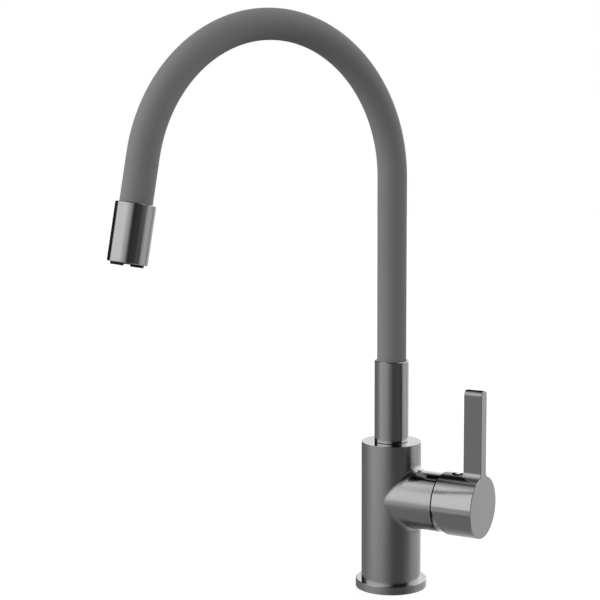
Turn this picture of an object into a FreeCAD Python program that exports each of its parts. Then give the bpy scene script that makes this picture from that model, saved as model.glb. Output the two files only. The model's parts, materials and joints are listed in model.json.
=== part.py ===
import FreeCAD, Part
import math
import os
from FreeCAD import Vector

# Single-lever kitchen mixer with a shapeable silicone-covered gooseneck. Millimetres and degrees.
# The origin is the centre of the base on the deck and +Z is up.
# The mixing valve and its lever lie along +X from the body.

# Base ring and gasket
base_step = 4.5
base_height = 6.3
base_edge = 0.4
gasket_width = 2.4
gasket_depth = 1.5

# Body and valve branch
body_radius = 23.0
body_top = 114.3
body_edge = 0.25
spigot_step = 1.5
branch_step = 0.6
branch_end = 44.2
valve_height = 71.3
crotch_fillet = 4.5

# Inlet base, pressed into the foot of the body, with the hose and stud threads
inlet_base_height = 14.0
inlet_base_radius = 18.95
inlet_thread_radius = 4.5
inlet_spread = 9.5
stud_radius = 3.4
stud_offset = 11.0
stud_depth = 12.0

# Water channels in the body
channel_radius = 4.0
channel_wall = 2.0
riser_radius = 4.5
outlet_port_radius = 3.5
outlet_port_drop = 3.5
inlet_port_radius = 2.8
inlet_port_rise = 6.5
inlet_port_spread = 5.5

# Ceramic cartridge, stacked inwards from the end of the branch
nut_inset = 0.2
nut_length = 6.0
nut_thread_radius = 18.95
nut_neck_radius = 15.5
nut_neck_length = 3.5
housing_radius = 17.5
housing_shoulder = 2.8
housing_neck_radius = 12.5
housing_neck_length = 11.8
cavity_radius = 15.7
flange_thickness = 3.0
flange_radius = 15.45
turret_neck_radius = 9.8
turret_overhang = 2.6
driver_height = 6.8
driver_flat = 10.5
driver_rail_height = 2.6
rail_length = 16.0
disc_thickness = 4.0
fixed_disc_radius = 14.8
moving_disc_margin = 0.4
pocket_radius = 6.2
pocket_depth = 1.8
pocket_shift = 0.5
disc_stand = 0.2
cartridge_base_thickness = 5.6
cartridge_base_radius = 17.3
cartridge_stand = 0.4
seal_depth = 1.2
seal_land = 0.3
seal_width = 1.3
disc_peg_radius = 1.2
disc_peg_length = 1.4
disc_peg_spread = 9.5
base_peg_radius = 1.8
base_peg_length = 3.0
base_peg_spread = 12.5
base_peg_drop = 8.0

# Stem, hinged on a pin in the turret, and the disc it drives
pivot_reach = 3.8
pin_radius = 1.5
pin_length = 19.0
eye_radius = 4.8
stem_width = 8.0
stem_end = 71.0
tail_root = 3.0
tail_neck = 1.4
tip_radius = 2.0
tip_sink = 1.0
tip_floor_gap = 0.4
slot_top = 8.0
slot_bottom = 5.2
handle_opening = 19.0

# Cover ring behind the handle, set low so that it clears the tilting cap
cover_step = 1.4
cover_drop = 1.2
cover_length = 6.9
cover_slant = 6.5
cover_mouth = 13.5

# Handle: a cap with an upright lever, flush with the cap's face
cap_overhang = 1.3
cap_gap = 1.1
cap_length = 32.2
cap_wall = 1.3
cap_cavity = 15.6
cap_edge = 0.3
hub_radius = 7.5
hub_length = 3.5
lever_width = 9.33
lever_depth = 14.4
lever_top = 159.9
lever_round = 3.4
lever_foot = 4.5
plug_set_back = 11.35
plug_radius = 4.56
plug_depth = 2.5
plug_foot = 1.0
plug_head_radius = 4.05
plug_dome = 0.35
screw_boss_wall = 0.8
screw_radius = 2.5
screw_length = 8.0

# Swivel joint of the spout
collar_radius = 13.1
collar_top = 177.3
collar_edge = 0.5
collar_web = 10.3
swivel_gap = 0.15
socket_depth = 18.3
nipple_radius = 8.95
nipple_shank_radius = 7.95
nipple_bore = 3.6
nipple_end_gap = 1.5
oring_width = 2.2
oring_depth = 1.45
oring_first = 3.0
oring_pitch = 4.5
clip_drop = 4.2
clip_thickness = 1.0
clip_inner = 8.2
clip_outer = 9.9
clip_opening = 60.0
washer_thickness = 1.3
washer_inner = 9.3
washer_outer = 11.7

# Gooseneck line: riser, one arc, a short straight run into the outlet
hose_radius = 11.15
sleeve_bore = 8.9
core_radius = 8.7
core_bore = 5.4
riser_top = 316.87
arc_radius = 110.18
arc_angle = 169.05
drop_length = 32.4
spout_angle = -112.15
water_hose_radius = 5.0
water_hose_bore = 3.5
neck_cup_floor = 4.0
neck_cup_depth = 8.0

# Ball joints along the gooseneck
first_joint = 35.0
last_joint_set_back = 23.05
joint_count = 9
sway_joint = 1
ball_radius = 8.2
ball_back = 5.2
ball_front = 5.0
ball_gap = 0.1
lip_back = 3.5
shoulder_back = 5.6
sway_shoulder_back = 7.0
ball_neck_radius = 6.0

# Outlet sleeve and aerator, measured along the outlet from its upper end
outlet_radius = 13.66
outlet_length = 40.06
outlet_edge = 0.4
sleeve_entry = 12.0
outlet_web = 5.0
outlet_web_bore = 6.5
chamber_bore = 9.5
aerator_thread_radius = 12.0
aerator_seat = 26.5
fitting_start = 4.0
fitting_shank = 20.0
outlet_nut_radius = 8.9
outlet_nut_height = 2.8
aerator_seal_height = 1.5
aerator_seal_bore = 9.7
aerator_bore = 9.3
rim_radius = 11.3
rim_reach = 1.8
rim_notches = 4
rim_notch_width = 4.3
rim_notch_depth = 1.2
rim_notch_turn = 31.7
grid_thickness = 2.0
grid_pitch = 2.5
grid_hole = 1.15
grid_rings = 3
grid_recess = 1.8
grid_ledge = 0.8
screen_thickness = 1.4
insert_wall = 1.1

# Clearances
press_gap = 0.02
running_gap = 0.05
slide_gap = 0.1
easy_gap = 0.25
stem_gap = 0.15

# Places worked out from the sizes above
branch_radius = body_radius - branch_step
spigot_radius = body_radius - spigot_step
base_radius = body_radius + base_step
gasket_middle = (spigot_radius + base_radius) / 2
cover_radius = branch_radius - cover_step
cap_radius = branch_radius + cap_overhang
nut_front = branch_end - nut_inset
nut_back = nut_front - nut_length
flange_front = nut_back - housing_shoulder - slide_gap
flange_back = flange_front - flange_thickness
driver_front = flange_back - slide_gap
driver_back = driver_front - driver_height
moving_disc_back = driver_back - disc_thickness
fixed_disc_back = moving_disc_back - disc_thickness
cartridge_base_front = fixed_disc_back - disc_stand
cartridge_base_back = cartridge_base_front - cartridge_base_thickness
chamber_floor = cartridge_base_back - cartridge_stand
chamber_radius = housing_radius + 2 * easy_gap
channel_x = chamber_floor - channel_wall - channel_radius
pivot_x = branch_end + pivot_reach
tip_x = driver_front - tip_sink
tail_length = pivot_x - tip_x
disc_travel = tail_length * math.sin(math.radians(handle_opening))
driver_radius = cavity_radius - disc_travel / 2 - running_gap - slide_gap
moving_disc_radius = driver_radius - moving_disc_margin
cap_back = branch_end + cap_gap
cap_face = cap_back + cap_length
plug_x = cap_back + plug_set_back
collar_bottom = body_top + swivel_gap
recess_top = body_top + washer_thickness + running_gap
web_top = collar_bottom + collar_web + washer_thickness
core_start = web_top + neck_cup_floor - collar_top
cup_top = web_top + neck_cup_floor + neck_cup_depth
riser_length = riser_top - collar_top
arc_length = math.radians(arc_angle) * arc_radius
line_length = riser_length + arc_length + drop_length
last_joint = line_length - last_joint_set_back
joint_pitch = (last_joint - first_joint) / (joint_count - 1)


# Helpers for turned pieces and places

def profile_face(points, to_space):
    corners = [to_space(a, b) for a, b in points]
    return Part.Face(Part.makePolygon(corners + corners[:1]))


def turned_z(points, x=0.0, y=0.0):
    """Turn an outline of (radius, height) corners about a vertical axis."""
    face = profile_face(points, lambda radius, height: Vector(x + radius, y, height))
    return face.revolve(Vector(x, y, 0), Vector(0, 0, 1), 360)


def turned_x(points, y=0.0, rise=0.0):
    """Turn an outline of (x, radius) corners about a line along X at the valve's height."""
    level = valve_height + rise
    face = profile_face(points, lambda x, radius: Vector(x, y, level + radius))
    return face.revolve(Vector(0, y, level), Vector(1, 0, 0), 360)


def drill_x(radius, start, end, y=0.0, rise=0.0):
    return Part.makeCylinder(radius, end - start, Vector(start, y, valve_height + rise), Vector(1, 0, 0))


def drill_z(radius, start, end, x=0.0, y=0.0):
    return Part.makeCylinder(radius, end - start, Vector(x, y, start))


def ring_z(outer, inner, start, end):
    return turned_z([(inner, start), (outer, start), (outer, end), (inner, end)])


def ring_x(outer, inner, start, end, y=0.0, rise=0.0):
    return turned_x([(start, inner), (start, outer), (end, outer), (end, inner)], y, rise)


def valve_box(start, end, half_width, low, high):
    corner = Vector(start, -half_width, valve_height + low)
    return Part.makeBox(end - start, 2 * half_width, high - low, corner)


def valve_ports():
    """Sideways place, rise and radius of the hot, cold and mixed water ports."""
    return [
        (inlet_port_spread, inlet_port_rise, inlet_port_radius),
        (-inlet_port_spread, inlet_port_rise, inlet_port_radius),
        (0.0, -outlet_port_drop, outlet_port_radius),
    ]


# The gooseneck's line lies in the XZ plane here and is turned to its rest direction at the end

def line_place(s):
    """Place a piece built along +Z at distance s from the collar's top, along the line."""
    if s <= riser_length:
        point = Vector(0, 0, collar_top + s)
        turn = 0.0
    else:
        turn = min(math.degrees((s - riser_length) / arc_radius), arc_angle)
        angle = math.radians(turn)
        point = Vector(arc_radius * (1 - math.cos(angle)), 0, riser_top + arc_radius * math.sin(angle))
        past = s - riser_length - arc_length
        if past > 0:
            point += Vector(math.sin(angle), 0, math.cos(angle)) * past
    return FreeCAD.Placement(point, FreeCAD.Rotation(Vector(0, 1, 0), turn))


def placed(shape, s):
    copy = shape.copy()
    copy.Placement = line_place(s).multiply(copy.Placement)
    return copy


def at_rest(shape):
    """Turn a piece of the spout from the XZ plane to its rest direction."""
    copy = shape.copy()
    copy.rotate(Vector(0, 0, 0), Vector(0, 0, 1), spout_angle)
    return copy


def rod(start, end, radius):
    """A round solid that follows the gooseneck's line from start to end."""
    arc_start = riser_length
    arc_end = riser_length + arc_length
    pieces = []
    if start < arc_start:
        pieces.append(placed(Part.makeCylinder(radius, min(end, arc_start) - start), start))
    bend_start = max(start, arc_start)
    bend_end = min(end, arc_end)
    if bend_end > bend_start:
        section = placed(Part.Face(Part.Wire(Part.makeCircle(radius))), bend_start)
        centre = Vector(arc_radius, 0, riser_top)
        turn = math.degrees((bend_end - bend_start) / arc_radius)
        pieces.append(section.revolve(centre, Vector(0, 1, 0), turn))
    if end > arc_end:
        drop_start = max(start, arc_end)
        pieces.append(placed(Part.makeCylinder(radius, end - drop_start), drop_start))
    whole = pieces[0]
    for piece in pieces[1:]:
        whole = whole.fuse(piece)
    return whole.removeSplitter()


def tube(start, end, outer, inner):
    return rod(start, end, outer).cut(rod(start, end, inner))


# Base ring, gasket and body

def make_base_ring():
    groove_outer = gasket_middle + gasket_width / 2
    groove_inner = gasket_middle - gasket_width / 2
    bore = spigot_radius + running_gap
    outline = [
        (bore, 0.0), (groove_inner, 0.0), (groove_inner, gasket_depth), (groove_outer, gasket_depth),
        (groove_outer, 0.0), (base_radius, 0.0), (base_radius, base_height - base_edge),
        (base_radius - base_edge, base_height), (bore, base_height),
    ]
    return turned_z(outline)


def make_base_gasket():
    outer = gasket_middle + gasket_width / 2 - running_gap
    inner = gasket_middle - gasket_width / 2 + running_gap
    return ring_z(outer, inner, 0.0, gasket_depth)


def body_shell():
    """The upright body with its valve branch, blended where they meet."""
    upright = turned_z([
        (0.0, base_height), (body_radius, base_height), (body_radius, body_top - body_edge),
        (body_radius - body_edge, body_top), (0.0, body_top),
    ])
    shell = upright.fuse(drill_x(branch_radius, 0.0, branch_end)).removeSplitter()
    seams = [edge for edge in shell.Edges if edge.Curve.TypeId not in ("Part::GeomCircle", "Part::GeomLine")]
    return shell.makeFillet(crotch_fillet, seams)


def make_body():
    shell = body_shell().fuse(drill_z(spigot_radius, 0.0, base_height))
    socket_floor = body_top - socket_depth
    clip_level = body_top - clip_drop
    tools = [
        drill_z(inlet_base_radius + press_gap, 0.0, inlet_base_height),
        drill_x(chamber_radius, chamber_floor, nut_back),
        drill_x(nut_thread_radius + running_gap, nut_back, branch_end),
        drill_z(riser_radius, valve_height - outlet_port_drop, socket_floor),
        drill_x(outlet_port_radius, 0.0, chamber_floor, 0.0, -outlet_port_drop),
        drill_z(nipple_radius + running_gap, socket_floor, body_top),
        drill_z(clip_outer + slide_gap, clip_level - clip_thickness - slide_gap, clip_level + slide_gap),
    ]
    for side in (-1, 1):
        channel_end = valve_height + inlet_port_rise + inlet_port_radius
        tools.append(drill_z(channel_radius, inlet_base_height, channel_end, channel_x, side * inlet_spread))
        port_y = side * inlet_port_spread
        tools.append(drill_x(inlet_port_radius, channel_x, chamber_floor, port_y, inlet_port_rise))
        peg_bore = base_peg_radius + running_gap
        peg_floor = chamber_floor - base_peg_length
        tools.append(drill_x(peg_bore, peg_floor, chamber_floor, side * base_peg_spread, -base_peg_drop))
    for tool in tools:
        shell = shell.cut(tool)
    return shell.removeSplitter()


def make_inlet_base():
    disc = drill_z(inlet_base_radius, 0.0, inlet_base_height)
    for side in (-1, 1):
        y = side * inlet_spread
        disc = disc.cut(drill_z(inlet_thread_radius, 0.0, inlet_base_height, channel_x, y))
    return disc.cut(drill_z(stud_radius, 0.0, stud_depth, -stud_offset, 0.0))


# Cartridge

def make_cartridge_base():
    disc = drill_x(cartridge_base_radius, cartridge_base_back, cartridge_base_front)
    for y, rise, radius in valve_ports():
        disc = disc.cut(drill_x(radius, cartridge_base_back, cartridge_base_front, y, rise))
        pocket = radius + seal_land + seal_width + running_gap
        back_end = cartridge_base_back + seal_depth - cartridge_stand
        disc = disc.cut(drill_x(pocket, cartridge_base_back, back_end, y, rise))
        front_start = cartridge_base_front - seal_depth + disc_stand
        disc = disc.cut(drill_x(pocket, front_start, cartridge_base_front, y, rise))
    for side in (-1, 1):
        peg_start = chamber_floor - base_peg_length + slide_gap
        peg = drill_x(base_peg_radius, peg_start, cartridge_base_back, side * base_peg_spread, -base_peg_drop)
        key_end = cartridge_base_front + disc_stand + disc_peg_length
        key = drill_x(disc_peg_radius, cartridge_base_front, key_end, side * disc_peg_spread, -base_peg_drop)
        disc = disc.fuse(peg).fuse(key)
    return disc


def make_port_seals():
    rings = []
    for y, rise, radius in valve_ports():
        inner = radius + seal_land
        rings.append(ring_x(inner + seal_width, inner, chamber_floor, chamber_floor + seal_depth, y, rise))
    return Part.makeCompound(rings)


def make_disc_seals():
    rings = []
    for y, rise, radius in valve_ports():
        inner = radius + seal_land
        start = fixed_disc_back - seal_depth
        rings.append(ring_x(inner + seal_width, inner, start, fixed_disc_back, y, rise))
    return Part.makeCompound(rings)


def make_fixed_disc():
    disc = drill_x(fixed_disc_radius, fixed_disc_back, moving_disc_back)
    for y, rise, radius in valve_ports():
        disc = disc.cut(drill_x(radius, fixed_disc_back, moving_disc_back, y, rise))
    for side in (-1, 1):
        key_end = fixed_disc_back + disc_peg_length + slide_gap
        bore = disc_peg_radius + running_gap
        y = side * disc_peg_spread
        disc = disc.cut(drill_x(bore, fixed_disc_back, key_end, y, -base_peg_drop))
    return disc


def make_moving_disc():
    """The sliding ceramic disc; its blind pocket joins the open ports and covers only the outlet at rest."""
    offset = -disc_travel / 2
    disc = drill_x(moving_disc_radius, moving_disc_back, driver_back, 0.0, offset)
    pocket_end = moving_disc_back + pocket_depth
    disc = disc.cut(drill_x(pocket_radius, moving_disc_back, pocket_end, 0.0, offset - pocket_shift))
    for side in (-1, 1):
        hole_start = driver_back - disc_peg_length - slide_gap
        bore = disc_peg_radius + running_gap
        disc = disc.cut(drill_x(bore, hole_start, driver_back, side * disc_peg_spread, offset))
    return disc


def make_disc_driver():
    """Carrier of the moving disc: two flats run in the turret's rails, a cross slot takes the stem's tip."""
    offset = -disc_travel / 2
    step = driver_front - driver_rail_height
    lower = drill_x(driver_radius, driver_back, step, 0.0, offset)
    upper = drill_x(driver_radius, step, driver_front, 0.0, offset)
    upper = upper.common(valve_box(step, driver_front, driver_flat, offset - driver_radius,
                                   offset + driver_radius))
    driver = lower.fuse(upper)
    slot_floor = tip_x - tip_radius - tip_floor_gap
    half_height = tip_radius + slide_gap
    slot = valve_box(slot_floor, driver_front, stem_width / 2 + stem_gap, -half_height, half_height)
    driver = driver.cut(slot)
    for side in (-1, 1):
        peg = drill_x(disc_peg_radius, driver_back - disc_peg_length, driver_back,
                      side * disc_peg_spread, offset)
        driver = driver.fuse(peg)
    return driver


def make_cartridge_housing():
    cavity_end = nut_back - housing_shoulder
    neck_end = nut_back + housing_neck_length
    neck_bore = turret_neck_radius + slide_gap
    outline = [
        (cartridge_base_front, cavity_radius), (cartridge_base_front, housing_radius),
        (nut_back, housing_radius), (nut_back, housing_neck_radius), (neck_end, housing_neck_radius),
        (neck_end, neck_bore), (cavity_end, neck_bore), (cavity_end, cavity_radius),
    ]
    return turned_x(outline)


def make_turret():
    turret_end = pivot_x + turret_overhang
    outline = [
        (flange_back, 0.0), (flange_back, flange_radius), (flange_front, flange_radius),
        (flange_front, turret_neck_radius), (turret_end, turret_neck_radius), (turret_end, 0.0),
    ]
    turret = turned_x(outline)
    rail_back = driver_front - driver_rail_height + slide_gap
    rail_ring = drill_x(flange_radius, rail_back, flange_back)
    rail_ring = rail_ring.common(valve_box(rail_back, flange_back, flange_radius,
                                           -rail_length / 2, rail_length / 2))
    rails = rail_ring.cut(valve_box(rail_back, flange_back, driver_flat + slide_gap,
                                    -rail_length, rail_length))
    turret = turret.fuse(rails)
    turret = turret.cut(valve_box(flange_back, turret_end, stem_width / 2 + stem_gap, -slot_bottom, slot_top))
    return turret.cut(stem_pin_shape(press_gap))


def stem_pin_shape(gap=0.0):
    start = Vector(pivot_x, -pin_length / 2, valve_height)
    return Part.makeCylinder(pin_radius + gap, pin_length, start, Vector(0, 1, 0))


def side_plate(points):
    """A plate of the stem's width with an outline of (x, rise) corners."""
    front = -stem_width / 2
    face = profile_face(points, lambda x, rise: Vector(x, front, valve_height + rise))
    return face.extrude(Vector(0, stem_width, 0))


def side_disc(x, radius):
    start = Vector(x, -stem_width / 2, valve_height)
    return Part.makeCylinder(radius, stem_width, start, Vector(0, 1, 0))


def make_stem():
    half = stem_width / 2
    bar = side_plate([(pivot_x, -half), (stem_end, -half), (stem_end, half), (pivot_x, half)])
    tail = side_plate([
        (pivot_x, -tail_root), (pivot_x, tail_root), (tip_x, tail_neck), (tip_x, -tail_neck),
    ])
    stem = bar.fuse(tail).fuse(side_disc(pivot_x, eye_radius)).fuse(side_disc(tip_x, tip_radius))
    return stem.cut(stem_pin_shape(running_gap)).removeSplitter()


def make_cartridge_nut():
    neck_end = nut_front + nut_neck_length
    bore = housing_neck_radius + easy_gap
    outline = [
        (nut_back, bore), (nut_back, nut_thread_radius), (nut_front, nut_thread_radius),
        (nut_front, nut_neck_radius), (neck_end, nut_neck_radius), (neck_end, bore),
    ]
    return turned_x(outline)


def make_cover_ring():
    """Polished ring over the cartridge nut; its front slopes like the cut in the cap."""
    far = branch_end + 2 * cover_length
    step = nut_front + nut_neck_length
    ring = drill_x(cover_radius, branch_end, far, 0.0, -cover_drop)
    ring = ring.cut(drill_x(nut_neck_radius + slide_gap, branch_end, step))
    ring = ring.cut(drill_x(cover_mouth, step, far))
    reach = 2 * cover_radius
    front = branch_end + cover_length
    lean = reach * math.tan(math.radians(cover_slant))
    corners = [
        (front - lean, reach), (far + reach, reach), (far + reach, -reach), (front + lean, -reach),
    ]
    face = profile_face(corners, lambda x, rise: Vector(x, -reach, valve_height + rise))
    return ring.cut(face.extrude(Vector(0, 2 * reach, 0)))


# Handle

def lever_plate():
    """The lever with its hollow-rounded foot, as one outline across the valve axis."""
    half = lever_width / 2
    reach = cap_radius + lever_foot
    foot_y = half + lever_foot
    foot_z = math.sqrt(reach * reach - foot_y * foot_y)
    on_cap = cap_radius / reach
    turn = math.atan2(foot_y, foot_z)
    middle = (math.pi / 2 + turn) / 2
    top = lever_top - valve_height
    back = cap_face - lever_depth
    diagonal = lever_round * (1 - math.sqrt(0.5))

    def at(y, rise):
        return Vector(back, y, valve_height + rise)

    foot_mid_y = foot_y - lever_foot * math.sin(middle)
    foot_mid_z = foot_z - lever_foot * math.cos(middle)
    edges = []
    for side in (-1, 1):
        edges.append(Part.Arc(at(side * foot_y * on_cap, foot_z * on_cap),
                              at(side * foot_mid_y, foot_mid_z),
                              at(side * half, foot_z)).toShape())
        edges.append(Part.makeLine(at(side * half, foot_z), at(side * half, top - lever_round)))
        edges.append(Part.Arc(at(side * half, top - lever_round),
                              at(side * (half - diagonal), top - diagonal),
                              at(side * (half - lever_round), top)).toShape())
    edges.append(Part.makeLine(at(lever_round - half, top), at(half - lever_round, top)))
    edges.append(Part.makeLine(at(-foot_y * on_cap, foot_z * on_cap), at(foot_y * on_cap, foot_z * on_cap)))
    face = Part.Face(Part.Wire(Part.__sortEdges__(edges)))
    return face.extrude(Vector(lever_depth, 0, 0))


def relief_wedge():
    """Space cut from the lower rear of the cap, so that it stays parallel to the branch at full opening."""
    kink = -(pivot_x - cap_back) * math.tan(math.radians(handle_opening / 2))
    low = -2 * cap_radius
    slant = (kink - low) * math.tan(math.radians(handle_opening))
    width = 2 * cap_radius
    face = profile_face([(cap_back - width, kink), (cap_back, kink), (cap_back + slant, low),
                         (cap_back - width, low)],
                        lambda x, rise: Vector(x, -width, valve_height + rise))
    return face.extrude(Vector(0, 2 * width, 0))


def make_handle():
    cavity_front = cap_back + cap_cavity
    cap = turned_x([
        (cap_back, 0.0), (cap_back, cap_radius), (cap_face, cap_radius), (cap_face, 0.0),
    ])
    blank = cap.fuse(lever_plate()).removeSplitter()
    face_edges = [edge for edge in blank.Edges if on_cap_face(edge)]
    blank = blank.makeChamfer(cap_edge, face_edges)
    blank = blank.cut(drill_x(cap_radius - cap_wall, cap_back, cavity_front))
    blank = blank.cut(relief_wedge())
    hub = drill_x(hub_radius, cavity_front - hub_length, cavity_front)
    boss_radius = plug_radius + easy_gap + screw_boss_wall
    boss = drill_z(boss_radius, valve_height + stem_width / 2 + slide_gap, valve_height + cap_radius, plug_x)
    boss = boss.common(drill_x(cap_radius - cap_wall / 2, cap_back, cap_face))
    handle = blank.fuse(hub).fuse(boss)
    half = stem_width / 2 + running_gap
    bore_start = cavity_front - hub_length
    handle = handle.cut(valve_box(bore_start, stem_end + easy_gap, half, -half, half))
    screw_bore = drill_z(screw_radius + running_gap, valve_height, valve_height + cap_radius, plug_x)
    seat = valve_height + cap_radius - plug_depth
    plug_bore = drill_z(plug_radius + easy_gap, seat, seat + 2 * plug_depth, plug_x)
    return handle.cut(screw_bore).cut(plug_bore).removeSplitter()


def on_cap_face(edge):
    box = edge.BoundBox
    return box.XLength < 0.01 and abs(box.XMax - cap_face) < 0.01


def make_handle_screw():
    start = valve_height + stem_width / 2
    screw = drill_z(screw_radius, start, start + screw_length, plug_x)
    key = drill_z(screw_radius / 2, start + screw_length / 2, start + screw_length, plug_x)
    return screw.cut(key)


def make_handle_plug():
    seat = valve_height + cap_radius - plug_depth
    crown = seat + plug_depth + plug_dome
    dome_radius = (plug_head_radius ** 2 + (2 * plug_dome) ** 2) / (4 * plug_dome)
    head = drill_z(plug_head_radius, seat, crown, plug_x)
    dome = Part.makeSphere(dome_radius, Vector(plug_x, 0, crown - dome_radius))
    foot = drill_z(plug_radius, seat, seat + plug_foot, plug_x)
    return head.common(dome).fuse(foot).removeSplitter()


# Swivel joint

def make_collar():
    bore = hose_radius + easy_gap
    shank_bore = nipple_shank_radius + running_gap
    recess = washer_outer + slide_gap
    outline = [
        (shank_bore, recess_top), (recess, recess_top), (recess, collar_bottom),
        (collar_radius - body_edge, collar_bottom), (collar_radius, collar_bottom + body_edge),
        (collar_radius, collar_top - collar_edge), (collar_radius - collar_edge, collar_top),
        (bore, collar_top), (bore, web_top), (shank_bore, web_top),
    ]
    return turned_z(outline)


def oring_levels():
    first = body_top - socket_depth + nipple_end_gap + oring_first
    return [first, first + oring_pitch]


def make_nipple():
    bottom = body_top - socket_depth + nipple_end_gap
    groove = nipple_radius - oring_depth
    clip_level = body_top - clip_drop
    clip_groove = clip_inner - slide_gap
    low, high = oring_levels()
    outline = [
        (nipple_bore, bottom), (nipple_radius, bottom),
        (nipple_radius, low), (groove, low), (groove, low + oring_width), (nipple_radius, low + oring_width),
        (nipple_radius, high), (groove, high), (groove, high + oring_width),
        (nipple_radius, high + oring_width),
        (nipple_radius, clip_level - clip_thickness - slide_gap),
        (clip_groove, clip_level - clip_thickness - slide_gap),
        (clip_groove, clip_level + slide_gap), (nipple_radius, clip_level + slide_gap),
        (nipple_radius, recess_top), (nipple_shank_radius, recess_top), (nipple_shank_radius, web_top),
        (nipple_bore, web_top),
    ]
    return turned_z(outline)


def make_nipple_orings():
    rings = []
    for level in oring_levels():
        inner = nipple_radius - oring_depth
        rings.append(ring_z(nipple_radius, inner + running_gap, level, level + oring_width))
    return Part.makeCompound(rings)


def make_nipple_clip():
    """Open snap ring in the body's groove; it keeps the nipple from lifting out."""
    level = body_top - clip_drop
    face = profile_face([
        (clip_inner, level - clip_thickness), (clip_outer, level - clip_thickness),
        (clip_outer, level), (clip_inner, level),
    ], lambda radius, height: Vector(radius, 0, height))
    return face.revolve(Vector(0, 0, 0), Vector(0, 0, 1), 360 - clip_opening)


def make_slide_washer():
    return ring_z(washer_outer, washer_inner, body_top, body_top + washer_thickness)


def make_neck_cup():
    """Cup on the collar's web that holds the lower end of the gooseneck."""
    outer = hose_radius + slide_gap
    seat = web_top + neck_cup_floor
    bore = water_hose_radius + easy_gap
    wide = core_radius + running_gap
    outline = [
        (bore, web_top), (outer, web_top), (outer, cup_top), (wide, cup_top), (wide, seat), (bore, seat),
    ]
    return turned_z(outline)


# Gooseneck

def joint_place(index):
    return first_joint + joint_pitch * index


def shoulder_at(index):
    return sway_shoulder_back if index == sway_joint else shoulder_back


def clipped_ball(s):
    ball = Part.makeSphere(ball_radius)
    slab = Part.makeBox(4 * ball_radius, 4 * ball_radius, ball_back + ball_front,
                        Vector(-2 * ball_radius, -2 * ball_radius, -ball_back))
    return placed(ball.common(slab), s)


def make_gooseneck_link(index):
    """One link: a socket at its lower end (but not on link 0) and a ball at its upper end."""
    last = index == joint_count
    start = core_start if index == 0 else joint_place(index - 1) - lip_back
    end = line_length + fitting_start if last else joint_place(index) - shoulder_at(index)
    link = rod(start, end, core_radius)
    if not last:
        centre = joint_place(index)
        link = link.fuse(rod(end, centre, ball_neck_radius)).fuse(clipped_ball(centre))
        end = centre + ball_radius
    link = link.cut(rod(start, end, core_bore))
    if index > 0:
        link = link.cut(placed(Part.makeSphere(ball_radius + ball_gap), joint_place(index - 1)))
    return at_rest(link.removeSplitter())


def make_silicone_sleeve():
    start = cup_top - collar_top
    return at_rest(tube(start, line_length + sleeve_entry - slide_gap, hose_radius, sleeve_bore))


def make_water_hose():
    start = web_top - collar_top
    end = line_length + (fitting_start + sleeve_entry) / 2
    return at_rest(tube(start, end, water_hose_radius, water_hose_bore))


# Outlet and aerator, turned about the outlet's own axis and then placed at the end of the line

def on_outlet(shape):
    return at_rest(placed(shape, line_length))


def hex_hole(x, y, start, end):
    corners = []
    for step in range(6):
        angle = math.radians(60 * step + 30)
        corners.append(Vector(x + grid_hole * math.cos(angle), y + grid_hole * math.sin(angle), start))
    return Part.Face(Part.makePolygon(corners + corners[:1])).extrude(Vector(0, 0, end - start))


def hole_centres(rings):
    """Centres of a honeycomb of the given number of rings around one hole."""
    centres = []
    for row in range(-rings, rings + 1):
        for column in range(-rings, rings + 1):
            if abs(row + column) <= rings:
                x = grid_pitch * (column + row / 2)
                y = grid_pitch * row * math.sqrt(3) / 2
                centres.append((x, y))
    return centres


def holed_disc(radius, start, end, rings):
    disc = Part.makeCylinder(radius, end - start, Vector(0, 0, start))
    holes = [hex_hole(x, y, start, end) for x, y in hole_centres(rings)]
    return disc.cut(Part.makeCompound(holes))


def make_outlet_sleeve():
    entry = hose_radius + easy_gap
    web_end = sleeve_entry + outlet_web
    outline = [
        (entry, 0.0), (outlet_radius - outlet_edge, 0.0), (outlet_radius, outlet_edge),
        (outlet_radius, outlet_length - outlet_edge), (outlet_radius - outlet_edge, outlet_length),
        (aerator_thread_radius, outlet_length), (aerator_thread_radius, aerator_seat),
        (chamber_bore, aerator_seat), (chamber_bore, web_end), (outlet_web_bore, web_end),
        (outlet_web_bore, sleeve_entry), (entry, sleeve_entry),
    ]
    return on_outlet(turned_z(outline))


def make_outlet_fitting():
    shank = outlet_web_bore - running_gap
    hose_seat = (fitting_start + sleeve_entry) / 2
    bore = water_hose_radius + running_gap
    outline = [
        (bore, fitting_start), (core_radius, fitting_start), (core_radius, sleeve_entry),
        (shank, sleeve_entry), (shank, fitting_shank), (water_hose_bore, fitting_shank),
        (water_hose_bore, hose_seat), (bore, hose_seat),
    ]
    return on_outlet(turned_z(outline))


def make_outlet_nut():
    start = sleeve_entry + outlet_web
    corners = []
    for step in range(6):
        angle = math.radians(60 * step)
        x = outlet_nut_radius * math.cos(angle)
        y = outlet_nut_radius * math.sin(angle)
        corners.append(Vector(x, y, start))
    blank = Part.Face(Part.makePolygon(corners + corners[:1])).extrude(Vector(0, 0, outlet_nut_height))
    bore = Part.makeCylinder(outlet_web_bore, outlet_nut_height, Vector(0, 0, start))
    return on_outlet(blank.cut(bore))


def make_aerator_seal():
    outer = aerator_thread_radius - slide_gap
    return on_outlet(ring_z(outer, aerator_seal_bore, aerator_seat, aerator_seat + aerator_seal_height))


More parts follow.
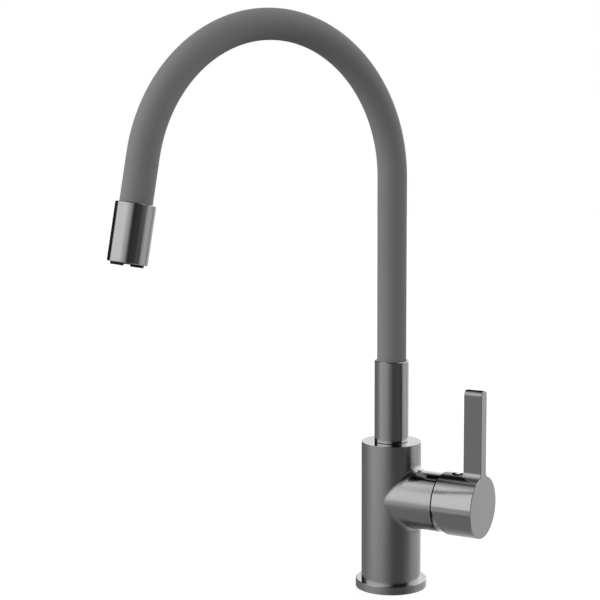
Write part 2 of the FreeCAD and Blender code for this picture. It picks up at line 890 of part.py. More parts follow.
def make_aerator_housing():
    """Screw-in cup of the aerator; the notches in its rim take the key."""
    start = aerator_seat + aerator_seal_height
    outer = aerator_thread_radius - running_gap
    rim_start = outlet_length - outlet_edge
    rim_end = outlet_length + rim_reach
    ledge = rim_end - grid_recess
    ledge_bore = aerator_bore - grid_ledge
    outline = [
        (aerator_bore, start), (outer, start), (outer, rim_start), (rim_radius, rim_start),
        (rim_radius, rim_end), (ledge_bore, rim_end), (ledge_bore, ledge - grid_ledge),
        (aerator_bore, ledge - grid_ledge),
    ]
    cup = turned_z(outline)
    for index in range(rim_notches):
        corner = Vector(ledge_bore - grid_ledge, -rim_notch_width / 2, rim_end - rim_notch_depth)
        notch = Part.makeBox(rim_radius, rim_notch_width, 2 * rim_notch_depth, corner)
        notch.rotate(Vector(0, 0, 0), Vector(0, 0, 1), rim_notch_turn + 360 * index / rim_notches)
        cup = cup.cut(notch)
    return on_outlet(cup)


def grid_front():
    return outlet_length + rim_reach - grid_recess - grid_ledge


def make_aerator_grid():
    radius = aerator_bore - running_gap
    return on_outlet(holed_disc(radius, grid_front() - grid_thickness, grid_front(), grid_rings))


def make_aerator_screen():
    start = aerator_seat + aerator_seal_height
    return on_outlet(holed_disc(aerator_bore - running_gap, start, start + screen_thickness, grid_rings - 1))


def make_aerator_insert():
    start = aerator_seat + aerator_seal_height + screen_thickness
    outer = aerator_bore - running_gap
    return on_outlet(ring_z(outer, outer - insert_wall, start, grid_front() - grid_thickness))


def all_parts():
    parts = {
        "base_ring": make_base_ring,
        "base_gasket": make_base_gasket,
        "mixer_body": make_body,
        "inlet_base": make_inlet_base,
        "cartridge_base": make_cartridge_base,
        "port_seals": make_port_seals,
        "disc_seals": make_disc_seals,
        "fixed_disc": make_fixed_disc,
        "moving_disc": make_moving_disc,
        "disc_driver": make_disc_driver,
        "cartridge_housing": make_cartridge_housing,
        "stem_turret": make_turret,
        "stem_pin": stem_pin_shape,
        "cartridge_stem": make_stem,
        "cartridge_nut": make_cartridge_nut,
        "cover_ring": make_cover_ring,
        "handle": make_handle,
        "handle_screw": make_handle_screw,
        "handle_plug": make_handle_plug,
        "spout_collar": make_collar,
        "spout_nipple": make_nipple,
        "nipple_orings": make_nipple_orings,
        "nipple_clip": make_nipple_clip,
        "slide_washer": make_slide_washer,
        "neck_cup": make_neck_cup,
        "silicone_sleeve": make_silicone_sleeve,
        "water_hose": make_water_hose,
        "outlet_sleeve": make_outlet_sleeve,
        "outlet_fitting": make_outlet_fitting,
        "outlet_nut": make_outlet_nut,
        "aerator_seal": make_aerator_seal,
        "aerator_screen": make_aerator_screen,
        "aerator_insert": make_aerator_insert,
        "aerator_grid": make_aerator_grid,
        "aerator_housing": make_aerator_housing,
    }
    shapes = {name: make() for name, make in parts.items()}
    for index in range(joint_count + 1):
        shapes["gooseneck_link_" + str(index)] = make_gooseneck_link(index)
    return shapes


os.makedirs("parts", exist_ok=True)
for node, shape in all_parts().items():
    shape.exportStep("parts/" + node + ".step")
    print(node, "solids", len(shape.Solids), "volume", round(shape.Volume, 1), "valid", shape.isValid())
print("disc travel", round(disc_travel, 3), "channel x", round(channel_x, 3))
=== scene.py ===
import json
import math

import bmesh
import bpy
from mathutils import Matrix, Vector


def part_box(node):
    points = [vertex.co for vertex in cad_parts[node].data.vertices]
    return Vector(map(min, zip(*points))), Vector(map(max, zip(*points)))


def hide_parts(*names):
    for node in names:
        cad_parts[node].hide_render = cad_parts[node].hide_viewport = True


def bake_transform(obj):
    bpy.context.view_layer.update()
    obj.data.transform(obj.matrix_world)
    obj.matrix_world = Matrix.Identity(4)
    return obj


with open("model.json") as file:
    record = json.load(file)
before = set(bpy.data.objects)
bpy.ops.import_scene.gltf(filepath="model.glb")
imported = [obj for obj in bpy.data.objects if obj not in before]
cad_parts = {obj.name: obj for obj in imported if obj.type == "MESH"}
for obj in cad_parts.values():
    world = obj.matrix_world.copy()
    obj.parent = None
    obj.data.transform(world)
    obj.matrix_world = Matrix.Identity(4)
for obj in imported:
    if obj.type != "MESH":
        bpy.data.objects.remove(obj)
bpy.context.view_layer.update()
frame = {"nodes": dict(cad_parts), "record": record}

# Camera, fitted to the photograph (metres and degrees; sensor and lens in mm)
CAMERA_PLACE = (0.5348, -1.0474, 0.3717)
CAMERA_HEADING = 28.51
CAMERA_PITCH = -7.594
CAMERA_SENSOR = 36
CAMERA_LENS = 93.41
CAMERA_SHIFT = (-0.08744, 0.01884)
CAMERA_CLIP = 0.01
CAMERA_AZIMUTH = math.atan2(CAMERA_PLACE[1], CAMERA_PLACE[0])

# Gooseneck line, as in the CAD (metres); the joints lie along it, measured from the collar's top
SPOUT_ANGLE = math.radians(-112.15)
COLLAR_TOP = 0.1773
RISER_TOP = 0.31687
ARC_RADIUS = 0.11018
ARC_ANGLE = math.radians(169.05)
DROP_LENGTH = 0.0324
FIRST_JOINT = 0.035
LAST_JOINT = 0.474
JOINT_COUNT = 9
JOINT_GAP = (LAST_JOINT - FIRST_JOINT) / (JOINT_COUNT - 1)
RISER_LENGTH = RISER_TOP - COLLAR_TOP
ARC_LENGTH = ARC_RADIUS * ARC_ANGLE
LINE_LENGTH = RISER_LENGTH + ARC_LENGTH + DROP_LENGTH

# The hoses: radii, height of the foot, and how far each enters the outlet (metres)
SLEEVE_RADIUS = 0.01115
SLEEVE_BORE = 0.0089
SLEEVE_FOOT = 0.13831
SLEEVE_ENTRY = 0.0119
WATER_HOSE_RADIUS = 0.005
WATER_HOSE_BORE = 0.0035
WATER_HOSE_FOOT = 0.12605
WATER_HOSE_ENTRY = 0.008

# Meshes: longest step along a hose (metres), sides round it, angle from which an edge is sharp
HOSE_STEP = 0.003
HOSE_SIDES = 96
SHARP_ANGLE = math.radians(35)

# Colours (linear); a pair is the darkest and the brightest of a cloudy metal
METAL_GREY = (0.27, 0.27, 0.267)
# Painted highlight: the bright colour painted on flat tops
PAINTED_TOP_HIGHLIGHT_GREY = (0.62, 0.62, 0.617)
STEEL_GREY = (0.56, 0.56, 0.55)
GAP_RING_GREYS = ((0.72, 0.72, 0.715), (0.82, 0.82, 0.815))
PLUG_GREYS = ((0.66, 0.66, 0.655), (0.74, 0.74, 0.735))
BRASS_TONES = ((0.6, 0.42, 0.16), (0.72, 0.52, 0.22))
SILICONE_GREY = (0.28, 0.28, 0.277)
PIPE_GREY = (0.4, 0.4, 0.4)
RUBBER_BLACK = (0.016, 0.016, 0.016)
PLASTIC_BLACK = (0.012, 0.012, 0.012)
PLASTIC_WHITE = (0.62, 0.62, 0.6)
CERAMIC_WHITE = (0.72, 0.7, 0.65)
# Painted shade: black in the branch's seam and inside the cap's gap
SEAM_SHADE_BLACK = (0.02, 0.02, 0.02)
# Painted black: a dark reflection painted on the lever's top, and shade painted round the plug
PAINTED_BLACK = (0.01, 0.01, 0.01)

# The range that most values of a noise lie in, the noise scales, and the depth of a bump (metres)
NOISE_RANGE = (0.3, 0.7)
SPECKLE_SCALE = 1500
BLAST_SCALE = 2600
CLOUD_SCALE = 60
STEEL_CLOUD_SCALE = 400
RING_CLOUD_SCALE = 800
BROAD_SCALE = 25
BUMP_DEPTH = 0.0001

# Satin metal: share of the speckle in its shade, and how far its roughness varies
SPECKLE_SHARE = 0.8
SATIN_VARIATION = 0.1

# Steel: roughness, and how far its roughness and its colour vary
STEEL_ROUGHNESS = 0.25
STEEL_ROUGHNESS_VARIATION = 0.3
STEEL_VARIATION = 0.06

# Roughness from low to high, the plug's from its rim to its middle
GAP_RING_ROUGHNESS = (0.28, 0.34)
PLUG_ROUGHNESS = (0.4, 0.08)
BRASS_ROUGHNESS = (0.22, 0.34)

# Brass: scale of the turned lines, and how much they wander
TURNED_SCALE = 900
TURNED_WANDER = 1.5

# The usual specular level, and how far a matte surface's roughness varies either way
SPECULAR = 0.5
MATTE_VARIATION = 0.05

# Tops: upward part of the facing direction over which a face turns smooth, and over which it is
# painted bright as a painted highlight
SHEEN_FACING = (0.55, 0.85)
FLAT_TOP_FACING = (0.985, 0.998)
POLISHED_ROUGHNESS = 0.06

# Lever: height above which the handle is the lever alone (metres), sideways and upward part of the
# facing direction that mark its flat sides and its top, and how much darker the painted shade
# makes the sides
LEVER_FOOT = 0.0955
LEVER_FADE = 0.002
LEVER_SIDE_FACING = (0.9, 0.97)
LEVER_TOP_FACING = (0.88, 0.96)
LEVER_PAINTED_SHADE = 0.4

# Seam: distances before the branch's end at which its painted black shade starts and is full
# (metres)
SEAM_START = 0.0006
SEAM_FULL = 0.0005

# Heights between which the ring behind the cap's gap turns from painted dark shade to bright
# (metres)
GAP_SHADE_TOP = 0.067
GAP_SHADE_FOOT = 0.056

# Radii between which the plug turns from bright to its rim of painted black shade (metres)
PLUG_BRIGHT = 0.0019
PLUG_RIM = 0.0023


# Node helpers

class Nodes:
    """Adds nodes to one tree and links them."""

    def __init__(self, tree):
        self.tree = tree
        tree.nodes.clear()

    def add(self, kind, **values):
        node = self.tree.nodes.new(kind)
        for key, value in values.items():
            setattr(node, key, value)
        return node

    def link(self, source, target):
        self.tree.links.new(source, target)

    def put(self, socket, value):
        """Link the socket to another one, or set its own value."""
        if isinstance(value, bpy.types.NodeSocket):
            self.link(value, socket)
        else:
            socket.default_value = value

    def place(self):
        """Position in the piece's own space."""
        return self.add("ShaderNodeTexCoord").outputs["Object"]

    def facing(self):
        """Direction in which the surface looks, in the piece's own space."""
        return self.add("ShaderNodeTexCoord").outputs["Normal"]

    def parts(self, vector):
        """The three components of a vector, by name."""
        node = self.add("ShaderNodeSeparateXYZ")
        self.link(vector, node.inputs[0])
        return node.outputs

    def math(self, operation, *inputs):
        node = self.add("ShaderNodeMath", operation=operation)
        for socket, value in zip(node.inputs, inputs):
            self.put(socket, value)
        return node.outputs[0]

    def weigh(self, first, second, share):
        """Average of two values, in which the first has the given share."""
        first = self.math("MULTIPLY", first, share)
        second = self.math("MULTIPLY", second, 1 - share)
        return self.math("ADD", first, second)

    def spread(self, value, low, high, new_low=0, new_high=1, smooth=False):
        """Map the range from low to high onto the new one, and hold its ends beyond."""
        kind = "SMOOTHSTEP" if smooth else "LINEAR"
        node = self.add("ShaderNodeMapRange", interpolation_type=kind)
        for socket, item in zip(node.inputs, (value, low, high, new_low, new_high)):
            self.put(socket, item)
        return node.outputs[0]

    def noise(self, vector, scale, detail=2.0, roughness=0.5):
        node = self.add("ShaderNodeTexNoise")
        self.put(node.inputs["Vector"], vector)
        node.inputs["Scale"].default_value = scale
        node.inputs["Detail"].default_value = detail
        node.inputs["Roughness"].default_value = roughness
        return node.outputs["Fac"]

    def vary(self, noise, low=0, high=1):
        """Spread the usual range of a noise over low to high."""
        return self.spread(noise, *NOISE_RANGE, low, high)

    def ramp(self, factor, stops):
        """A ramp of (position, grey level) stops."""
        node = self.add("ShaderNodeValToRGB")
        elements = node.color_ramp.elements
        while len(elements) > 1:
            elements.remove(elements[-1])
        for index, (position, level) in enumerate(stops):
            element = elements[0] if index == 0 else elements.new(position)
            element.position = position
            element.color = (level, level, level, 1)
        self.put(node.inputs[0], factor)
        return node.outputs[0]

    def mix(self, factor, first, second):
        """Blend two colours, each of them a socket or three channels."""
        node = self.add("ShaderNodeMix", data_type="RGBA")
        self.put(node.inputs["Factor"], factor)
        for name, colour in (("A", first), ("B", second)):
            self.put(node.inputs[name], (*colour, 1) if isinstance(colour, tuple) else colour)
        return node.outputs["Result"]

    def bump(self, height, strength):
        node = self.add("ShaderNodeBump")
        node.inputs["Strength"].default_value = strength
        node.inputs["Distance"].default_value = BUMP_DEPTH
        self.put(node.inputs["Height"], height)
        return node.outputs["Normal"]


def tones(colour, variation):
    """The colour made darker and brighter by the variation."""
    dark = tuple(channel * (1 - variation) for channel in colour)
    bright = tuple(channel * (1 + variation) for channel in colour)
    return dark, bright


def new_material(name):
    material = bpy.data.materials.new(name)
    material.use_nodes = True
    nodes = Nodes(material.node_tree)
    shader = nodes.add("ShaderNodeBsdfPrincipled")
    output = nodes.add("ShaderNodeOutputMaterial")
    nodes.link(shader.outputs[0], output.inputs[0])
    return material, nodes, shader


# Materials

def satin_metal(name, roughness, grain, bump=0.04, look_changes=()):
    """Dark plated metal with a fine blasted grain; each look change, a finish or painted light,
    alters its look in one place.
    """
    material, nodes, shader = new_material(name)
    place = nodes.place()
    speckle = nodes.noise(place, SPECKLE_SCALE, roughness=0.6)
    cloud = nodes.noise(place, CLOUD_SCALE, detail=3.0)
    shade = nodes.vary(nodes.weigh(speckle, cloud, SPECKLE_SHARE))
    rough_range = (roughness * (1 - SATIN_VARIATION), roughness * (1 + SATIN_VARIATION))
    look = {
        "colour": nodes.mix(shade, *tones(METAL_GREY, grain)),
        "rough": nodes.vary(speckle, *rough_range),
        "height": nodes.noise(place, BLAST_SCALE, detail=1.0),
        "metallic": 1,
        "specular": SPECULAR,
    }
    for look_change in look_changes:
        look_change(nodes, look)
    nodes.link(look["colour"], shader.inputs["Base Color"])
    nodes.link(look["rough"], shader.inputs["Roughness"])
    nodes.link(nodes.bump(look["height"], bump), shader.inputs["Normal"])
    nodes.put(shader.inputs["Metallic"], look["metallic"])
    nodes.put(shader.inputs["Specular IOR Level"], look["specular"])
    return material


def smooth_tops_with_painted_highlight(nodes, look):
    """Faces that look up are smooth, and flat tops carry a painted highlight: their colour is
    painted bright.
    """
    upward = nodes.parts(nodes.facing())["Z"]
    sheen = nodes.spread(upward, *SHEEN_FACING, smooth=True)
    top = nodes.spread(upward, *FLAT_TOP_FACING, smooth=True)
    dull = nodes.math("SUBTRACT", 1, sheen)
    rough = nodes.math("MULTIPLY", look["rough"], dull)
    smooth = nodes.math("MULTIPLY", sheen, POLISHED_ROUGHNESS)
    # Painted highlight: flat tops take the bright grey
    look["colour"] = nodes.mix(top, look["colour"], PAINTED_TOP_HIGHLIGHT_GREY)
    look["rough"] = nodes.math("ADD", rough, smooth)
    look["height"] = nodes.math("MULTIPLY", look["height"], dull)


def paint_seam_shade(nodes, look):
    """Painted shade: the end of the branch, at the cap's gap, is painted black."""
    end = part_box("mixer_body")[1][0]
    reach = nodes.parts(nodes.place())["X"]
    seam = nodes.spread(reach, end - SEAM_START, end - SEAM_FULL)
    # Painted shade: the branch's rim at the gap turns black
    look["colour"] = nodes.mix(seam, look["colour"], SEAM_SHADE_BLACK)


def paint_lever_shade(nodes, look):
    """Painted shade: the lever's flat sides are painted darker, and its top is painted black in
    place of a dark reflection.
    """
    facing = nodes.parts(nodes.facing())
    height = nodes.parts(nodes.place())["Z"]
    lever = nodes.spread(height, LEVER_FOOT, LEVER_FOOT + LEVER_FADE)
    side = nodes.spread(nodes.math("ABSOLUTE", facing["Y"]), *LEVER_SIDE_FACING)
    top = nodes.spread(facing["Z"], *LEVER_TOP_FACING)
    side = nodes.math("MULTIPLY", lever, side)
    top = nodes.math("MULTIPLY", lever, top)
    dark, _ = tones(METAL_GREY, LEVER_PAINTED_SHADE)
    # Painted shade on the sides, and a painted black top standing in for a dark reflection
    look["colour"] = nodes.mix(side, look["colour"], dark)
    look["colour"] = nodes.mix(top, look["colour"], PAINTED_BLACK)
    look["metallic"] = nodes.math("SUBTRACT", 1, top)
    look["specular"] = nodes.spread(top, 0, 1, SPECULAR, 0)


def bright_steel(name):
    """Plain bright steel, a little cloudy."""
    material, nodes, shader = new_material(name)
    cloud = nodes.noise(nodes.place(), STEEL_CLOUD_SCALE, detail=3.0)
    grey = nodes.mix(cloud, *tones(STEEL_GREY, STEEL_VARIATION))
    nodes.link(grey, shader.inputs["Base Color"])
    low = STEEL_ROUGHNESS * (1 - STEEL_ROUGHNESS_VARIATION)
    high = STEEL_ROUGHNESS * (1 + STEEL_ROUGHNESS_VARIATION)
    nodes.link(nodes.vary(cloud, low, high), shader.inputs["Roughness"])
    shader.inputs["Metallic"].default_value = 1
    return material


def gap_ring(name):
    """The ring behind the cap's gap: painted shade makes it dark in the narrow gap; bright where
    the slant opens it.
    """
    material, nodes, shader = new_material(name)
    place = nodes.place()
    bare = nodes.spread(nodes.parts(place)["Z"], GAP_SHADE_TOP, GAP_SHADE_FOOT)
    cloud = nodes.noise(place, RING_CLOUD_SCALE)
    bright = nodes.mix(cloud, *GAP_RING_GREYS)
    # Painted shade: black where the gap is narrow
    nodes.link(nodes.mix(bare, SEAM_SHADE_BLACK, bright), shader.inputs["Base Color"])
    nodes.link(nodes.vary(cloud, *GAP_RING_ROUGHNESS), shader.inputs["Roughness"])
    shader.inputs["Metallic"].default_value = 1
    return material


def plug_with_painted_rim(name):
    """The plug over the set screw: bright in the middle, with a rim of painted black shade."""
    material, nodes, shader = new_material(name)
    place = nodes.place()
    parts = nodes.parts(place)
    low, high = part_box("handle_plug")
    across = nodes.math("SUBTRACT", parts["X"], (low[0] + high[0]) / 2)
    along = nodes.math("SUBTRACT", parts["Y"], (low[1] + high[1]) / 2)
    across = nodes.math("POWER", across, 2)
    along = nodes.math("POWER", along, 2)
    radius = nodes.math("POWER", nodes.math("ADD", across, along), 0.5)
    # Painted shade: the rim turns black
    bright = nodes.spread(radius, PLUG_RIM, PLUG_BRIGHT)
    grey = nodes.mix(nodes.noise(place, RING_CLOUD_SCALE), *PLUG_GREYS)
    nodes.link(nodes.mix(bright, PAINTED_BLACK, grey), shader.inputs["Base Color"])
    nodes.link(nodes.spread(bright, 0, 1, *PLUG_ROUGHNESS), shader.inputs["Roughness"])
    nodes.link(bright, shader.inputs["Metallic"])
    nodes.link(nodes.spread(bright, 0, 1, 0, SPECULAR), shader.inputs["Specular IOR Level"])
    return material


def machined_brass(name):
    """Machined brass with fine turned lines."""
    material, nodes, shader = new_material(name)
    wave = nodes.add("ShaderNodeTexWave", wave_type="BANDS", bands_direction="DIAGONAL")
    nodes.link(nodes.place(), wave.inputs["Vector"])
    wave.inputs["Scale"].default_value = TURNED_SCALE
    wave.inputs["Distortion"].default_value = TURNED_WANDER
    lines = wave.outputs["Fac"]
    nodes.link(nodes.mix(lines, *BRASS_TONES), shader.inputs["Base Color"])
    nodes.link(nodes.spread(lines, 0, 1, *BRASS_ROUGHNESS), shader.inputs["Roughness"])
    shader.inputs["Metallic"].default_value = 1
    return material


def matte(name, colour, roughness, variation, grain_scale, bump, specular=0.3):
    """Rubber, silicone, plastic or ceramic: even colour with a fine grain."""
    material, nodes, shader = new_material(name)
    place = nodes.place()
    fine = nodes.noise(place, grain_scale)
    shade = nodes.vary(nodes.weigh(fine, nodes.noise(place, BROAD_SCALE), 0.5))
    nodes.link(nodes.mix(shade, *tones(colour, variation)), shader.inputs["Base Color"])
    rough = nodes.vary(fine, roughness - MATTE_VARIATION, roughness + MATTE_VARIATION)
    nodes.link(rough, shader.inputs["Roughness"])
    nodes.link(nodes.bump(fine, bump), shader.inputs["Normal"])
    shader.inputs["Specular IOR Level"].default_value = specular
    return material


def make_materials():
    """Every material, by the key that the tables below use."""
    return {
        "body": satin_metal("satin_body", 0.26, 0.06, 0.025, (smooth_tops_with_painted_highlight, paint_seam_shade)),
        "collar": satin_metal("satin_collar", 0.17, 0.06),
        "handle": satin_metal("satin_handle", 0.14, 0.08, look_changes=(paint_lever_shade,)),
        "outlet": satin_metal("satin_outlet", 0.13, 0.06),
        "gap": gap_ring("gap_ring"),
        "plug": plug_with_painted_rim("plug_with_painted_rim"),
        "steel": bright_steel("bright_steel"),
        "brass": machined_brass("machined_brass"),
        "silicone": matte("grey_silicone", SILICONE_GREY, roughness=0.75, variation=0.03,
                          grain_scale=2200, bump=0.1, specular=0.1),
        "rubber": matte("black_rubber", RUBBER_BLACK, roughness=0.6, variation=0.1,
                        grain_scale=2600, bump=0.15),
        "black_plastic": matte("black_plastic", PLASTIC_BLACK, roughness=0.45, variation=0.08,
                               grain_scale=3000, bump=0.1, specular=0.1),
        "white_plastic": matte("white_plastic", PLASTIC_WHITE, roughness=0.42, variation=0.03,
                               grain_scale=2600, bump=0.08),
        "ceramic": matte("disc_ceramic", CERAMIC_WHITE, roughness=0.25, variation=0.02,
                         grain_scale=3400, bump=0.03),
        "pipe": matte("hose_pipe", PIPE_GREY, roughness=0.5, variation=0.05,
                      grain_scale=1800, bump=0.1),
    }


# Nodes with a material of their own, and the material of every other node by its slot
NODE_MATERIALS = {
    "handle": "handle",
    "outlet_sleeve": "outlet",
    "spout_collar": "collar",
    "handle_plug": "plug",
    "cover_ring": "gap",
}
SLOT_MATERIALS = {
    "gunmetal": "body",
    "steel": "steel",
    "brass": "brass",
    "grey_silicone": "silicone",
    "black_rubber": "rubber",
    "black_plastic": "black_plastic",
    "white_plastic": "white_plastic",
    "disc_ceramic": "ceramic",
    "hose_pipe": "pipe",
}


def dress_nodes(materials):
    """Give each carried-over CAD node its material."""
    for part in frame["record"]["subparts"]:
        node = frame["nodes"][part["node"]]
        key = NODE_MATERIALS.get(part["node"]) or SLOT_MATERIALS[part["material_slot"]]
        node.data.materials.clear()
        node.data.materials.append(materials[key])


# Gooseneck

def line_point(s):
    """Point and direction of the gooseneck's line at distance s from the collar's top."""
    along = Vector((math.cos(SPOUT_ANGLE), math.sin(SPOUT_ANGLE), 0))
    up = Vector((0, 0, 1))
    turn = min(max((s - RISER_LENGTH) / ARC_RADIUS, 0), ARC_ANGLE)
    direction = along * math.sin(turn) + up * math.cos(turn)
    if s <= RISER_LENGTH:
        return up * (COLLAR_TOP + s), direction
    out = along * ARC_RADIUS * (1 - math.cos(turn))
    point = out + up * (RISER_TOP + ARC_RADIUS * math.sin(turn))
    past = max(s - RISER_LENGTH - ARC_LENGTH, 0)
    return point + direction * past, direction


def tube_ring(mesh, s, radius):
    """Ring of points round the gooseneck's line at distance s."""
    point, direction = line_point(s)
    side_axis = Vector((-math.sin(SPOUT_ANGLE), math.cos(SPOUT_ANGLE), 0))
    other = direction.cross(side_axis)
    ring = []
    for side in range(HOSE_SIDES):
        angle = 2 * math.pi * side / HOSE_SIDES
        across = side_axis * math.cos(angle) + other * math.sin(angle)
        ring.append(mesh.verts.new(point + across * radius))
    return ring


def join_rings(mesh, first, second):
    """Closed band of faces between two rings."""
    for side in range(HOSE_SIDES):
        after = (side + 1) % HOSE_SIDES
        mesh.faces.new((first[side], first[after], second[after], second[side]))


def finish_mesh(name, mesh):
    """Make a piece of the mesh, smooth apart from its sharp edges, with its faces outward."""
    data = bpy.data.meshes.new(name)
    bmesh.ops.recalc_face_normals(mesh, faces=mesh.faces)
    mesh.to_mesh(data)
    mesh.free()
    data.polygons.foreach_set("use_smooth", [True] * len(data.polygons))
    data.set_sharp_from_angle(angle=SHARP_ANGLE)
    piece = bpy.data.objects.new(name, data)
    bpy.context.scene.collection.objects.link(piece)
    return piece


def make_tube(name, start, end, outer, inner):
    """A thick tube along the gooseneck's line, open right through."""
    mesh = bmesh.new()
    count = max(2, math.ceil((end - start) / HOSE_STEP))
    skin = []
    bore = []
    for index in range(count + 1):
        s = start + (end - start) * index / count
        skin.append(tube_ring(mesh, s, outer))
        bore.append(tube_ring(mesh, s, inner))
    for rings in (skin, bore):
        for low, high in zip(rings, rings[1:]):
            join_rings(mesh, low, high)
    join_rings(mesh, skin[0], bore[0])
    join_rings(mesh, skin[-1], bore[-1])
    return finish_mesh(name, mesh)


def make_bending_hose(node, material, foot, entry, outer, inner):
    """A hose in one piece per joint, in place of the CAD hose; each piece runs along the
    gooseneck's line from halfway to the joint before to halfway to the joint after.
    """
    joints = [FIRST_JOINT + JOINT_GAP * index for index in range(JOINT_COUNT)]
    seams = [joint + JOINT_GAP / 2 for joint in joints[:-1]]
    edges = [foot - COLLAR_TOP] + seams + [LINE_LENGTH + entry]
    for index, joint in enumerate(joints):
        name = node + "_" + str(index + 1)
        piece = make_tube(name, edges[index], edges[index + 1], outer, inner)
        piece.data.materials.append(material)
        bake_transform(piece)
        if index == 0:
            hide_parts(node)


def make_hoses(materials):
    """The silicone sleeve, and the water hose inside it."""
    make_bending_hose("silicone_sleeve", materials["silicone"],
                      SLEEVE_FOOT, SLEEVE_ENTRY, SLEEVE_RADIUS, SLEEVE_BORE)
    make_bending_hose("water_hose", materials["pipe"],
                      WATER_HOSE_FOOT, WATER_HOSE_ENTRY, WATER_HOSE_RADIUS, WATER_HOSE_BORE)


# Studio

# Light levels as (azimuth, level), one table for each height band. The azimuth is in degrees from
# the camera's side, positive to the right; plus and minus 180 lie behind the object.

# Far below the horizon: seen by the underside of the branch
NADIR_LIGHT = [
    (-180, 0.9), (-165, 0.7), (-140, 0.52), (-100, 0.42), (-54, 0.42), (0, 0.4), (42, 0.5),
    (60, 0.95), (100, 0.95), (125, 0.8), (150, 0.8), (180, 0.9),
]
GROUND_LIGHT = [
    (-180, 0.75), (-165, 0.6), (-90, 0.47), (-54, 0.42), (-10, 0.32), (10, 0.22), (45, 0.24),
    (60, 0.5), (110, 0.66), (150, 0.7), (180, 0.75),
]
# A little below the horizon: seen by the upright walls of the body, collar and lever
FLOOR_LIGHT = [
    (-180, 0.35), (-164, 0.24), (-117, 0.4), (-92, 0.66), (-80, 0.82), (-66, 0.95), (-50, 0.86),
    (-37, 0.72), (-21, 0.44), (-10, 0.29), (0, 0.18), (9, 0.15), (41, 0.15), (50, 0.18),
    (67, 0.38), (87, 0.66), (108, 0.84), (126, 0.9), (145, 1.0), (165, 1.0), (175, 0.4),
]
LOW_LIGHT = [
    (-180, 0.45), (-164, 0.22), (-107, 0.45), (-88, 0.83), (-71, 1.05), (-63, 0.9), (-50, 0.8),
    (-41, 0.77), (-35, 0.8), (-29, 0.69), (-16, 0.48), (-3, 0.3), (9, 0.165), (22, 0.17),
    (50, 0.19), (64, 0.12), (71, 0.12), (80, 0.75), (97, 1.2), (119, 0.95), (145, 1.0),
    (165, 1.0), (175, 0.45),
]
# From the horizon up: seen by the outlet sleeve, by flat tops, and by the branch and cap
WALL_LIGHT = [
    (-180, 0.6), (-165, 0.6), (-158, 0.03), (-109, 0.03), (-101, 1.87), (-40, 1.87), (-25, 1.3),
    (-10, 0.9), (0, 0.35), (5, 0.1), (44, 0.12), (56, 0.25), (70, 0.5), (82, 0.85), (95, 1.15),
    (124, 1.6), (160, 1.7), (176, 1.7), (180, 0.6),
]
STRIP_LIGHT = [
    (-180, 0.9), (-168, 0.9), (-160, 0.02), (-114, 0.02), (-106, 1.87), (-40, 1.87), (-25, 1.3),
    (-10, 0.9), (0, 0.3), (5, 0.01), (66, 0.01), (76, 1.2), (84, 1.9), (99, 2.2), (113, 2.4),
    (160, 2.4), (170, 0.9), (180, 0.9),
]
UPPER_LIGHT = [
    (-180, 0.01), (-154, 0.01), (-146, 0.6), (-120, 0.6), (-102, 1.5), (-90, 1.6), (-80, 1.85),
    (-52, 1.85), (-38, 0.8), (-20, 0.4), (0, 0.03), (66, 0.03), (82, 0.8), (92, 1.7), (120, 1.7),
    (134, 0.9), (152, 0.5), (162, 0.01), (180, 0.01),
]
CEILING_LIGHT = [
    (-180, 0.6), (-150, 0.6), (-130, 0.4), (-120, 0.45), (-109, 0.7), (-100, 1.0), (-90, 1.25),
    (-70, 1.5), (-30, 0.6), (0, 0.05), (60, 0.05), (90, 0.5), (140, 0.6), (180, 0.6),
]
ZENITH_LIGHT = [(-180, 0.05), (180, 0.05)]

# The bands from below to above; each takes over from the last between two elevations (degrees)
LOWEST_BAND = NADIR_LIGHT
BANDS_ABOVE = [
    (GROUND_LIGHT, -46, -38),
    (FLOOR_LIGHT, -21, -18),
    (LOW_LIGHT, -14.5, -12.5),
    (WALL_LIGHT, -5, -1.5),
    (STRIP_LIGHT, 7, 9),
    (UPPER_LIGHT, 26, 44),
    (CEILING_LIGHT, 60, 63),
    (ZENITH_LIGHT, 68, 72),
]

# A ramp holds levels up to 1, so the tables are divided by this and the light is multiplied by it
LIGHT_SCALE = 4.0

# Floor: radius (metres), sides, colour, and how brightly it glows for the camera
FLOOR_RADIUS = 4.0
FLOOR_SIDES = 64
FLOOR_COLOUR = (0.3, 0.3, 0.3, 1)
FLOOR_GLOW = 0.85


def studio_band(nodes, turn, table):
    """Light level round one height band."""
    stops = [((angle + 180) / 360, level / LIGHT_SCALE) for angle, level in table]
    return nodes.ramp(turn, stops)


def studio_level(nodes):
    """Light level by direction, from all height bands."""
    parts = nodes.parts(nodes.add("ShaderNodeTexCoord").outputs["Generated"])
    turn = nodes.math("ARCTAN2", parts["Y"], parts["X"])
    turn = nodes.math("SUBTRACT", turn, CAMERA_AZIMUTH)
    turn = nodes.math("WRAP", turn, math.pi, -math.pi)
    turn = nodes.spread(turn, -math.pi, math.pi)
    elevation = nodes.math("MULTIPLY", nodes.math("ARCSINE", parts["Z"]), 180 / math.pi)
    level = studio_band(nodes, turn, LOWEST_BAND)
    for table, start, full in BANDS_ABOVE:
        above = nodes.spread(elevation, start, full, smooth=True)
        level = nodes.mix(above, level, studio_band(nodes, turn, table))
    return level


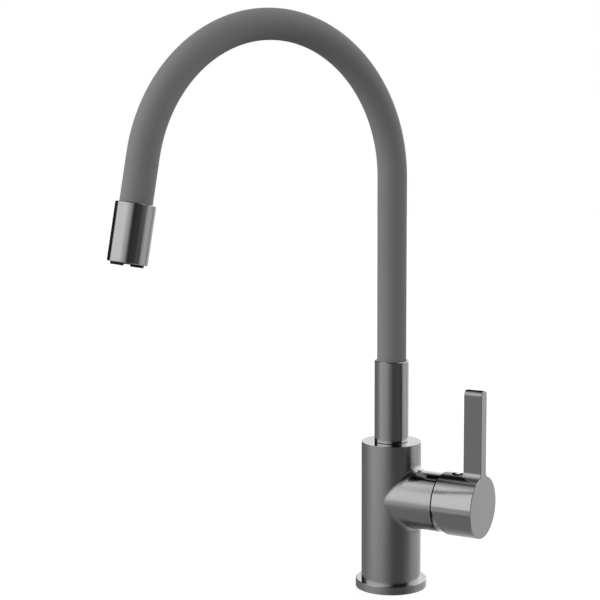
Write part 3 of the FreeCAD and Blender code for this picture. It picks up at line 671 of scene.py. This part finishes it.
def make_world():
    """The studio lights the object, and the camera sees white behind it."""
    world = bpy.data.worlds.new("studio")
    bpy.context.scene.world = world
    world.use_nodes = True
    nodes = Nodes(world.node_tree)
    studio = nodes.add("ShaderNodeBackground")
    nodes.link(studio_level(nodes), studio.inputs["Color"])
    studio.inputs["Strength"].default_value = LIGHT_SCALE
    white = nodes.add("ShaderNodeBackground")
    white.inputs["Color"].default_value = (1, 1, 1, 1)
    path = nodes.add("ShaderNodeLightPath")
    mixed = nodes.add("ShaderNodeMixShader")
    nodes.link(path.outputs["Is Camera Ray"], mixed.inputs[0])
    nodes.link(studio.outputs[0], mixed.inputs[1])
    nodes.link(white.outputs[0], mixed.inputs[2])
    output = nodes.add("ShaderNodeOutputWorld")
    nodes.link(mixed.outputs[0], output.inputs[0])


def pale_floor():
    """Pale, with the object's shadow, to the camera; reflections pass through to the studio."""
    material = bpy.data.materials.new("pale_floor")
    material.use_nodes = True
    nodes = Nodes(material.node_tree)
    path = nodes.add("ShaderNodeLightPath")
    shadowed = nodes.add("ShaderNodeBsdfDiffuse")
    shadowed.inputs["Color"].default_value = FLOOR_COLOUR
    glow = nodes.add("ShaderNodeEmission")
    glow.inputs["Strength"].default_value = FLOOR_GLOW
    pale = nodes.add("ShaderNodeAddShader")
    nodes.link(shadowed.outputs[0], pale.inputs[0])
    nodes.link(glow.outputs[0], pale.inputs[1])
    plain = nodes.add("ShaderNodeBsdfDiffuse")
    plain.inputs["Color"].default_value = FLOOR_COLOUR
    seen = nodes.add("ShaderNodeMixShader")
    nodes.link(path.outputs["Is Camera Ray"], seen.inputs[0])
    nodes.link(plain.outputs[0], seen.inputs[1])
    nodes.link(pale.outputs[0], seen.inputs[2])
    clear = nodes.add("ShaderNodeBsdfTransparent")
    mixed = nodes.add("ShaderNodeMixShader")
    nodes.link(path.outputs["Is Glossy Ray"], mixed.inputs[0])
    nodes.link(seen.outputs[0], mixed.inputs[1])
    nodes.link(clear.outputs[0], mixed.inputs[2])
    output = nodes.add("ShaderNodeOutputMaterial")
    nodes.link(mixed.outputs[0], output.inputs[0])
    return material


def make_floor():
    """A round floor, wide enough to fill the picture below the object."""
    mesh = bmesh.new()
    bmesh.ops.create_circle(mesh, cap_ends=True, segments=FLOOR_SIDES, radius=FLOOR_RADIUS)
    floor = finish_mesh("floor", mesh)
    floor.data.materials.append(pale_floor())


def make_camera():
    """The camera, at the photograph's place and angle."""
    data = bpy.data.cameras.new("camera")
    data.sensor_width = CAMERA_SENSOR
    data.lens = CAMERA_LENS
    data.shift_x, data.shift_y = CAMERA_SHIFT
    data.clip_start = CAMERA_CLIP
    camera = bpy.data.objects.new("camera", data)
    bpy.context.scene.collection.objects.link(camera)
    heading = Matrix.Rotation(math.radians(CAMERA_HEADING), 4, "Z")
    pitch = Matrix.Rotation(math.radians(90 + CAMERA_PITCH), 4, "X")
    camera.matrix_world = Matrix.Translation(CAMERA_PLACE) @ heading @ pitch
    bpy.context.scene.camera = camera


materials = make_materials()
dress_nodes(materials)
make_hoses(materials)
make_world()
make_floor()
make_camera()
bpy.context.scene.view_settings.view_transform = "Standard"
